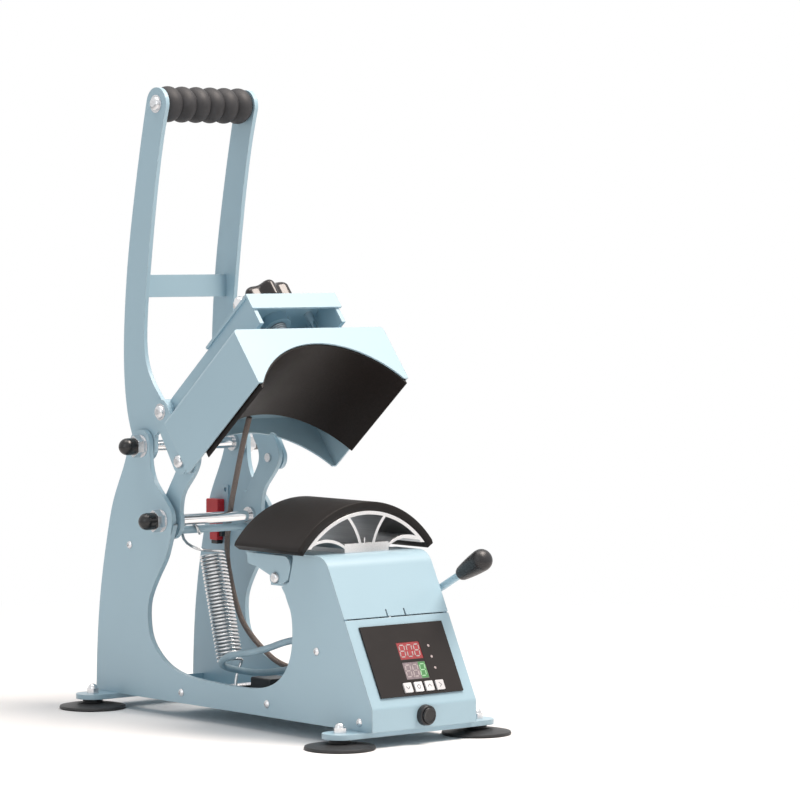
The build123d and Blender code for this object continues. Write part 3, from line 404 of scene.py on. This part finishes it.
# camera at the photograph's place
cameraLook = {"place": (-1.9899, -2.5576, 0.4185), "azimuth": -39.75, "down": 2.437, "lens": 167.4}
azimuth = math.radians(cameraLook["azimuth"])
down = math.radians(cameraLook["down"])
lookWay = Vector((-math.sin(azimuth) * math.cos(down), math.cos(azimuth) * math.cos(down),
                  -math.sin(down)))
camera = bpy.data.objects.new("photoCamera", bpy.data.cameras.new("photoCamera"))
bpy.context.scene.collection.objects.link(camera)
camera.location = cameraLook["place"]
camera.rotation_mode = "QUATERNION"
camera.rotation_quaternion = lookWay.to_track_quat("-Z", "Y")
camera.data.lens = cameraLook["lens"]
camera.data.sensor_width = 36
camera.data.clip_start = 0.1
camera.data.clip_end = 50
bpy.context.scene.camera = camera
print("camera placed")


# lead loop out of the box's rear wall and back, hanging in the frame
loopLook = {"radius": 3.0, "colour": (0.33, 0.47, 0.55)}
boxRear = -86.0
loopRoute = [(-34.0, boxRear - 5, 79.6), (-34.0, -70.0, 79.4), (-36.0, -52.0, 75.5),
             (-39.0, -34.0, 68.8), (-41.5, -14.0, 63.8), (-43.0, 4.0, 61.2), (-43.5, 20.0, 57.0),
             (-39.0, 34.0, 50.5), (-27.0, 41.5, 44.8), (-13.0, 39.5, 41.4), (-4.5, 29.0, 39.8),
             (-2.5, 12.0, 41.2), (-2.0, -8.0, 44.9), (-1.0, -30.0, 49.0), (-0.3, -55.0, 52.0),
             (0.0, boxRear - 5, 52.8)]
loopSleeve = mouldedPlastic("paleBlueSleeve", loopLook["colour"], 0.45)
leadLoop = routeCurve("leadLoop", loopRoute, loopLook["radius"] * mm)
leadLoop.data.materials.append(loopSleeve)
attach(leadLoop, "frame")
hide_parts("lead_loop")
print("lead loop laid")


# heater lead from the head down to the box; its top end sits where the open head holds it
def swungOpen(y, z, angle=-39.2, pivot=(97.0, 172.3)):
    c, s = math.cos(math.radians(angle)), math.sin(math.radians(angle))
    dy, dz = y - pivot[0], z - pivot[1]
    return pivot[0] + dy * c - dz * s, pivot[1] + dy * s + dz * c


heaterLook = {"radius": 2.5}
topY, topZ = swungOpen(-12.0, 203.0)
heaterRoute = [(-8.0, topY, topZ), (-8.0, 38.0, 250.0), (-1.0, 54.0, 230.0),
               (11.0, 77.0, 206.0), (23.0, 99.5, 184.0), (30.0, 111.5, 168.0),
               (31.5, 117.0, 150.0), (30.5, 115.5, 132.0), (30.0, 109.0, 112.0),
               (30.0, 102.0, 94.0), (30.0, 93.0, 78.0), (30.0, 78.0, 65.0), (30.0, 60.0, 54.0),
               (30.0, 42.0, 45.5), (30.0, 18.0, 41.5), (30.0, -20.0, 42.5),
               (30.0, -56.0, 44.0), (30.0, boxRear - 5, 44.0)]
heaterLine = routeCurve("heaterLine", heaterRoute)
heaterLine.data.resolution_u = 14
heaterLead = tubeAlong("heaterLead", centreline(heaterLine), heaterLook["radius"] * mm, braid)
bpy.data.objects.remove(heaterLine)
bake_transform(heaterLead)
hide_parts("heater_lead")
print("heater lead laid")


# long extension spring with a hook at each end
springLook = {"wire": 1.3, "coil": 10.7, "turns": 30, "x": 2.0, "foot": (67.2, 22.8),
              "footRod": 3.5, "bar": (106.0, 162.2), "barRod": 3.5, "coilFrom": 24.0,
              "coilTo": 122.0}


def springLine():
    look = springLook
    foot = Vector((look["x"], *look["foot"]))
    up = Vector((0, look["bar"][0] - look["foot"][0], look["bar"][1] - look["foot"][1]))
    length = up.length
    up.normalize()
    side = Vector((1, 0, 0))
    back = up.cross(side)

    def at(x, b, a):
        return foot + side * x + back * b + up * a

    clear = look["footRod"] + look["wire"] + 0.4
    hold = look["barRod"] + look["wire"] + 0.35
    start = at(0, -look["coil"], look["coilFrom"])
    startWay = side
    points = [at(-3.5, clear, 2.0), at(-3.2, clear, -clear * 0.9), at(-3, 0, -clear * 1.25),
              at(-3, -clear, -clear * 0.9), at(-2, -clear, 4.0), at(2, -6, 14),
              start + startWay * 7.0]
    steps = 16
    for i in range(look["turns"] * steps + 1):
        angle = 2 * math.pi * i / steps
        rise = look["coilFrom"] + (look["coilTo"] - look["coilFrom"]) * i / steps / look["turns"]
        points.append(at(-look["coil"] * math.sin(angle), -look["coil"] * math.cos(angle), rise))
    # the top end leaves the front of the coil to the left and crosses over the bar
    points += [at(-8, -10.4, look["coilTo"] + 0.6), at(-17, -8.5, look["coilTo"] + 1.8),
               at(-24, -3, look["coilTo"] + 6.5), at(-26, hold, length - 8),
               at(-25.5, hold, length + hold * 0.8), at(-21, 0, length + hold * 1.25),
               at(-16, -hold, length + hold * 0.8), at(-14, -hold - 0.3, length - 6)]
    return points


springRoute = routeCurve("springLine", [tuple(p) for p in springLine()])
springRoute.data.resolution_u = 2
springCoil = tubeAlong("springCoil", centreline(springRoute), springLook["wire"] * mm,
                       springSteel, 10)
bpy.data.objects.remove(springRoute)
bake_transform(springCoil)
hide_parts("spring")
print("spring wound")


# foam pad over the platen, with soft edges and a slightly full crown
padLook = {"outer": 92.0, "inner": 84.15, "centre": 106.5, "foot": 160.3, "front": -121.0,
           "rear": -32.0, "edge": 0.9, "steps": 64, "pinch": 0.12, "pinched": 0.02}


def softPad():
    look = padLook
    low, high, edge = look["front"] + 0.05, look["rear"] - 0.05, look["edge"]
    outer = look["outer"]
    reach = math.acos((look["foot"] - look["centre"]) / outer)
    inner = look["inner"]
    # section along the length: bottom face, rounded front edge, top, rounded rear edge
    profile = [(low + 0.4, inner)]
    for k in range(7):
        a = math.pi / 2 * k / 6
        profile.append((low + edge - edge * math.cos(a), outer - edge + edge * math.sin(a)))
    for k in range(1, 8):
        t = k / 8
        profile.append((low + edge + (high - low - 2 * edge) * t, outer))
    for k in range(7):
        a = math.pi / 2 * (1 - k / 6)
        profile.append((high - edge + edge * math.cos(a), outer - edge + edge * math.sin(a)))
    profile.append((high - 0.4, inner))
    points, faces = [], []
    count = len(profile)
    for i in range(look["steps"] + 1):
        angle = -reach + 2 * reach * i / look["steps"]
        # the two ends of the arc are pressed a little thinner
        pinch = max(0.0, (abs(angle) - reach + look["pinched"]) / look["pinched"])
        for y, radius in profile:
            r = radius - (radius - inner) * look["pinch"] * pinch
            z = look["centre"] + r * math.cos(angle)
            points.append(Vector((r * math.sin(angle), y, z)) * mm)
    for i in range(look["steps"]):
        for k in range(count):
            j = (k + 1) % count
            faces.append((i * count + k, (i + 1) * count + k, (i + 1) * count + j, i * count + j))
    faces += [tuple(range(count)), tuple(reversed(range(len(points) - count, len(points))))]
    return meshPiece("platenPad", points, faces, foam)


platenPad = softPad()
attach(platenPad, "frame")
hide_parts("platen_pad")
print("pad laid on the platen")


# display, lamps and key marks, laid on the sloping front
slopeTop = Vector((0, -134.6, 155.5))
slopeDown = Vector((0, -62.9, -122.5)).normalized()
slopeOut = Vector((0, slopeDown.z, -slopeDown.y))
panelLook = {"window": (25.0, 15.6), "redRow": 89.5, "greenRow": 107.3, "rowX": 0.8,
             "digit": (5.2, 10.4), "digits": (-7.8, 0.0, 7.8), "lamps": (86.6, 96.5, 106.6),
             "lampX": 22.2, "lamp": 2.3, "keyRow": 122.3, "keys": (-14.0, -2.4, 9.2, 20.8),
             "glassLift": (0.5, 1.1), "patchLift": (1.1, 1.14), "digitLift": (1.1, 1.25),
             "lampLift": (0.8, 1.5), "markLift": (2.68, 2.76)}


def onSlope(u, distance, lift):
    point = slopeTop + slopeDown * distance + slopeOut * lift
    return Vector((u, point.y, point.z)) * mm


def raised(name, outlines, u0, distance, lifts, material, body="frame"):
    # flat shapes given as (right, up) outlines about a point of the slope, with real thickness
    points, faces = [], []
    for outline in outlines:
        n, base = len(outline), len(points)
        for lift in lifts:
            points += [onSlope(u0 + x, distance - y, lift) for x, y in outline]
        faces.append(tuple(base + n + k for k in range(n)))
        faces.append(tuple(base + k for k in reversed(range(n))))
        faces += [(base + k, base + (k + 1) % n, base + n + (k + 1) % n, base + n + k)
                  for k in range(n)]
    piece = meshPiece(name, points, faces, material, smooth=False)
    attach(piece, body)
    return piece


def roundedBox(width, height, radius, steps=6):
    outline = []
    for cx, cy, start in ((1, 1, 0), (-1, 1, 90), (-1, -1, 180), (1, -1, 270)):
        for k in range(steps + 1):
            a = math.radians(start + 90 * k / steps)
            outline.append((cx * (width / 2 - radius) + radius * math.cos(a),
                            cy * (height / 2 - radius) + radius * math.sin(a)))
    return outline


def digit(x, lit, bar=0.95, lean=0.12):
    # seven slanted bars with pointed ends; lit lists which of them are drawn
    h, v = (side / 2 for side in panelLook["digit"])

    def across(y):
        return [(-h + 0.5, y), (-h + 1.0, y + bar / 2), (h - 1.0, y + bar / 2),
                (h - 0.5, y), (h - 1.0, y - bar / 2), (-h + 1.0, y - bar / 2)]

    def upright(side, y):
        low, high = y - v / 2, y + v / 2
        return [(side, low + 0.5), (side + bar / 2, low + 1.0), (side + bar / 2, high - 1.0),
                (side, high - 0.5), (side - bar / 2, high - 1.0), (side - bar / 2, low + 1.0)]

    bars = [across(v), across(0), across(-v), upright(-h, v / 2), upright(h, v / 2),
            upright(-h, -v / 2), upright(h, -v / 2)]
    return [[(x + px + lean * py, py) for px, py in bars[k]] for k in lit]


def displayPanel():
    look = panelLook
    redBack = litGlass("redWindowBack", (0.36, 0.055, 0.06), 0.1)
    mauveBack = litGlass("mauveWindowBack", (0.27, 0.22, 0.24), 0.05)
    paleBars = litGlass("paleSegments", (0.48, 0.42, 0.42), 0.08)
    greenBack = litGlass("greenWindowBack", (0.09, 0.27, 0.1), 0.1)
    greenBars = litGlass("greenSegments", (0.36, 0.62, 0.38), 0.12)
    lampDots = litGlass("lampDots", (0.5, 0.42, 0.42), 0.1)
    wide, tall = look["window"]
    glass = [roundedBox(wide - 0.12, tall - 0.12, 0.5)]
    x, upperRow, lowerRow = look["rowX"], look["redRow"], look["greenRow"]
    upper = raised("upperWindow", glass, x, upperRow, look["glassLift"], redBack)
    raised("lowerWindow", glass, x, lowerRow, look["glassLift"], mauveBack)
    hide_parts("display_windows")
    eight, zero = (0, 1, 2, 3, 4, 5, 6), (0, 2, 3, 4, 5, 6)
    left, middle, right = look["digits"]
    highlightTint = [b for d in (left, middle, right) for b in digit(d, eight if d else zero)]
    raised("greenPatch", [roundedBox(7.6, 14.6, 0.4)], x + 8.3, lowerRow, look["patchLift"],
           greenBack)
    raised("upperDigits", highlightTint, x, upperRow, look["digitLift"], paleBars)
    grey = [b for d in (left, middle) for b in digit(d, eight)]
    grey.append([(px - 3.6, py - 5.4) for px, py in roundedBox(1.1, 1.1, 0.4)])
    raised("lowerDigits", grey, x, lowerRow, look["digitLift"], paleBars)
    raised("greenDigit", digit(right, eight), x, lowerRow, look["digitLift"], greenBars)
    middleLamp = look["lamps"][1]
    dot = roundedBox(look["lamp"], look["lamp"], 1.1)
    column = [[(px, py + middleLamp - d) for px, py in dot] for d in look["lamps"]]
    dots = raised("lampDots", column, look["lampX"], middleLamp, look["lampLift"], lampDots)
    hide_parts("indicator_lamps")


def keyMarks():
    ink = mouldedPlastic("greyInk", (0.09, 0.1, 0.12), 0.5)

    def stroke(a, b, wide=0.5):
        way = Vector((b[0] - a[0], b[1] - a[1])).normalized() * wide / 2
        side = (-way.y, way.x)
        return [(a[0] + side[0], a[1] + side[1]), (a[0] - side[0], a[1] - side[1]),
                (b[0] - side[0], b[1] - side[1]), (b[0] + side[0], b[1] + side[1])]

    ring = []
    for k in range(16):
        a, b = 2 * math.pi * k / 16, 2 * math.pi * (k + 1) / 16
        ring.append([(r * math.cos(t), r * math.sin(t)) for r, t in
                     ((1.9, a), (1.9, b), (1.35, b), (1.35, a))])
    marks = {"down": [stroke((-2, 0.9), (0, -1.3)), stroke((0, -1.3), (2, 0.9))], "zero": ring,
             "up": [stroke((-2, -0.9), (0, 1.3)), stroke((0, 1.3), (2, -0.9))],
             "next": [stroke((-0.9, 2), (1.3, 0)), stroke((1.3, 0), (-0.9, -2))]}
    for (name, outlines), u in zip(marks.items(), panelLook["keys"]):
        raised(name + "Mark", outlines, u, panelLook["keyRow"], panelLook["markLift"], ink,
               "key_" + name)


displayPanel()
keyMarks()
print("panel drawn")


# head hardware drawn with the press closed, then swung up with the head
def screwPiece(name, points, faces, material, node):
    turned = [Vector((x, *swungOpen(y, z))) * mm for x, y, z in points]
    piece = meshPiece(name, turned, faces, material)
    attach(piece, "screw")
    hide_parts(node)


def turnedSurface(radiusAt, heights, sides, place):
    # closed surface of rings, radiusAt(angle, height), with flat ends
    points, faces = [], []
    for h in heights:
        for k in range(sides):
            a = 2 * math.pi * k / sides
            r = radiusAt(a, h)
            points.append((place[0] + r * math.cos(a), place[1] + r * math.sin(a), h))
    for i in range(len(heights) - 1):
        for k in range(sides):
            j = (k + 1) % sides
            faces.append((i * sides + k, i * sides + j, (i + 1) * sides + j, (i + 1) * sides + k))
    faces.append(tuple(reversed(range(sides))))
    faces.append(tuple(range((len(heights) - 1) * sides, len(heights) * sides)))
    return points, faces


screwLook = {"y": -84.4, "low": 214.0, "high": 270.0, "radius": 8.0, "pitch": 2.0, "depth": 0.95,
             "step": 0.25, "sides": 40}
knobLook = {"low": 263.0, "high": 284.0, "mean": 22.3, "lobe": 3.0, "count": 7, "round": 7.0,
            "under": 2.5, "sides": 112}


def threadRadius(angle, height):
    look = screwLook
    phase = (height / look["pitch"] - angle / (2 * math.pi)) % 1.0
    return look["radius"] - 0.03 - look["depth"] * abs(2 * phase - 1)


def knobRadius(angle, height):
    look = knobLook
    lobes = math.cos(look["count"] * angle)
    full = look["mean"] + look["lobe"] * (lobes if lobes > 0 else lobes * 0.8)
    top, bottom = look["high"] - height, height - look["low"]
    if top < look["round"]:
        part = 1 - top / look["round"]
        full *= 1 - 0.42 * (1 - math.sqrt(max(0.0, 1 - part * part)))
    if bottom < look["under"]:
        part = 1 - bottom / look["under"]
        full -= 2.0 * (1 - math.sqrt(max(0.0, 1 - part * part)))
    return full


def pressureScrew():
    look = screwLook
    count = int((look["high"] - look["low"]) / look["step"])
    heights = [look["low"] + look["step"] * k for k in range(count)]
    points, faces = turnedSurface(threadRadius, heights, look["sides"], (0, look["y"]))
    steel = turnedMetal("screwThreadSteel", (0.45, 0.47, 0.49), 0.35)
    screwPiece("pressureScrew", points, faces, steel, "pressure_screw")


def pressureKnob():
    look = knobLook
    low, high = look["low"], look["high"]
    # rings close together where the knob rounds over, below and on top
    heights = [low, low + 0.3, low + 0.9, low + 1.7, low + look["under"]]
    heights += [low + 4 + 2 * k for k in range(5)]
    heights += [high - look["round"] * math.cos(math.pi / 2 * k / 9) for k in range(1, 10)]
    points, faces = turnedSurface(knobRadius, heights, look["sides"], (0, screwLook["y"]))
    black = mouldedPlastic("knobPlastic", (0.014, 0.011, 0.011), 0.2, 0.08)
    screwPiece("pressureKnob", points, faces, black, "pressure_knob")


pressureScrew()
pressureKnob()
print("screw and knob turned")


# snap switch on its bracket: red body with chamfered edges, a step below and dark terminals
switchLook = {"body": (42.6, 50.3, 145.6, 163.5, 168.2, 184.3, 0.8),
              "step": (43.2, 49.9, 147.5, 158.8, 146.9, 168.2, 0.6),
              "base": (44.0, 50.2, 148.3, 157.4, 143.4, 146.8, 0.4),
              "tag": (45.2, 49.6, 143.0, 147.4, 150.5, 157.5, 0.3)}


def chamferedBlock(name, x0, x1, y0, y1, z0, z1, cut, material):
    # prism whose outline in Y and Z has cut corners and whose ends are drawn in a little
    outline = [(y0 + cut, z0), (y1 - cut, z0), (y1, z0 + cut), (y1, z1 - cut), (y1 - cut, z1),
               (y0 + cut, z1), (y0, z1 - cut), (y0, z0 + cut)]
    my, mz = (y0 + y1) / 2, (z0 + z1) / 2
    points = []
    for x, draw in ((x0, cut * 0.5), (x0 + cut * 0.5, 0), (x1 - cut * 0.5, 0), (x1, cut * 0.5)):
        for y, z in outline:
            drawnY, drawnZ = y + math.copysign(draw, my - y), z + math.copysign(draw, mz - z)
            points.append(Vector((x, drawnY, drawnZ)) * mm)
    faces = [tuple(range(8)), tuple(reversed(range(24, 32)))]
    for i in range(3):
        faces += [(i * 8 + k, (i + 1) * 8 + k, (i + 1) * 8 + (k + 1) % 8, i * 8 + (k + 1) % 8)
                  for k in range(8)]
    piece = meshPiece(name, points, faces, material, smooth=False)
    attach(piece, "frame")
    return piece


def limitSwitch():
    look = switchLook
    red = mouldedPlastic("brightSwitchRed", (0.68, 0.02, 0.03), 0.3)
    body = chamferedBlock("switchBody", *look["body"], red)
    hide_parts("limit_switch")
    chamferedBlock("switchStep", *look["step"], red)
    chamferedBlock("switchBase", *look["base"], blackPlastic)
    chamferedBlock("switchTag", *look["tag"], blackPlastic)


limitSwitch()
print("switch placed")


# soft studio: pale floor and white surroundings
studio = {"floor": (0.9, 0.905, 0.91), "half": 9, "world": 0.32, "sky": (0.93, 0.96, 1.0, 1),
          "clear": 0.3, "white": 1.1}
bpy.context.scene.view_settings.view_transform = "Standard"
floorMesh = bpy.data.meshes.new("floor")
half = studio["half"]
floorMesh.from_pydata([(-half, -half, 0), (half, -half, 0), (half, half, 0), (-half, half, 0)],
                      [], [(0, 1, 2, 3)])
floor = bpy.data.objects.new("floor", floorMesh)
bpy.context.scene.collection.objects.link(floor)


def fadingFloor():
    # pale floor that keeps the shadow near the feet and fades to the white surroundings
    f = Finish("paleFloor", studio["floor"], 0.9)
    tone = f.noise(3, 3)
    f.colour(f.mix(tone, tuple(c * 0.99 for c in studio["floor"]), studio["floor"]))
    away = f.nodes.new("ShaderNodeVectorMath")
    away.operation = "LENGTH"
    f.links.new(f.coords.outputs["Object"], away.inputs[0])
    fade = f.range(away.outputs["Value"], 0.0, 1.0, studio["clear"], studio["white"])
    path = f.nodes.new("ShaderNodeLightPath")
    shown = f.maths("MULTIPLY", fade, path.outputs["Is Camera Ray"])
    glow = f.nodes.new("ShaderNodeEmission")
    glow.inputs["Color"].default_value = (1, 1, 1, 1)
    mixed = f.nodes.new("ShaderNodeMixShader")
    f.links.new(shown, mixed.inputs["Fac"])
    f.links.new(f.shader.outputs["BSDF"], mixed.inputs[1])
    f.links.new(glow.outputs[0], mixed.inputs[2])
    f.links.new(mixed.outputs[0], f.nodes["Material Output"].inputs["Surface"])
    return f.material


dress(floor, fadingFloor())


def plainWorld():
    # even light on the object; the camera and shiny or clear pieces see plain white
    world = bpy.data.worlds.new("softStudio")
    bpy.context.scene.world = world
    world.use_nodes = True
    nodes, links = world.node_tree.nodes, world.node_tree.links
    light = nodes["Background"]
    light.inputs["Color"].default_value = studio["sky"]
    light.inputs["Strength"].default_value = studio["world"]
    white = nodes.new("ShaderNodeBackground")
    white.inputs["Color"].default_value = (1, 1, 1, 1)
    white.inputs["Strength"].default_value = 1.0
    path = nodes.new("ShaderNodeLightPath")
    seen = nodes.new("ShaderNodeMath")
    seen.operation = "MAXIMUM"
    seenAll = nodes.new("ShaderNodeMath")
    seenAll.operation = "MAXIMUM"
    links.new(path.outputs["Is Camera Ray"], seen.inputs[0])
    links.new(path.outputs["Is Glossy Ray"], seen.inputs[1])
    links.new(seen.outputs[0], seenAll.inputs[0])
    links.new(path.outputs["Is Transmission Ray"], seenAll.inputs[1])
    mix = nodes.new("ShaderNodeMixShader")
    links.new(seenAll.outputs[0], mix.inputs["Fac"])
    links.new(light.outputs[0], mix.inputs[1])
    links.new(white.outputs[0], mix.inputs[2])
    links.new(mix.outputs[0], nodes["World Output"].inputs["Surface"])


def areaLamp(name, place, target, size, power, colour):
    lamp = bpy.data.objects.new(name, bpy.data.lights.new(name, "AREA"))
    lamp.data.size = size
    lamp.data.energy = power
    lamp.data.color = colour
    lamp.location = place
    lamp.rotation_mode = "QUATERNION"
    lamp.rotation_quaternion = (Vector(target) - Vector(place)).to_track_quat("-Z", "Y")
    bpy.context.scene.collection.objects.link(lamp)


plainWorld()
areaLamp("frontLamp", (0.8, -1.0, 2.7), (0, 0, 0.25), 1.3, 98, (1.0, 0.89, 0.81))
areaLamp("topLamp", (-0.3, 0.2, 2.6), (0, 0, 0.2), 1.6, 22, (1.0, 0.93, 0.88))
areaLamp("sideLamp", (-2.2, -0.7, 1.0), (0, 0, 0.25), 1.6, 6, (0.95, 0.98, 1.0))
print("studio lit")
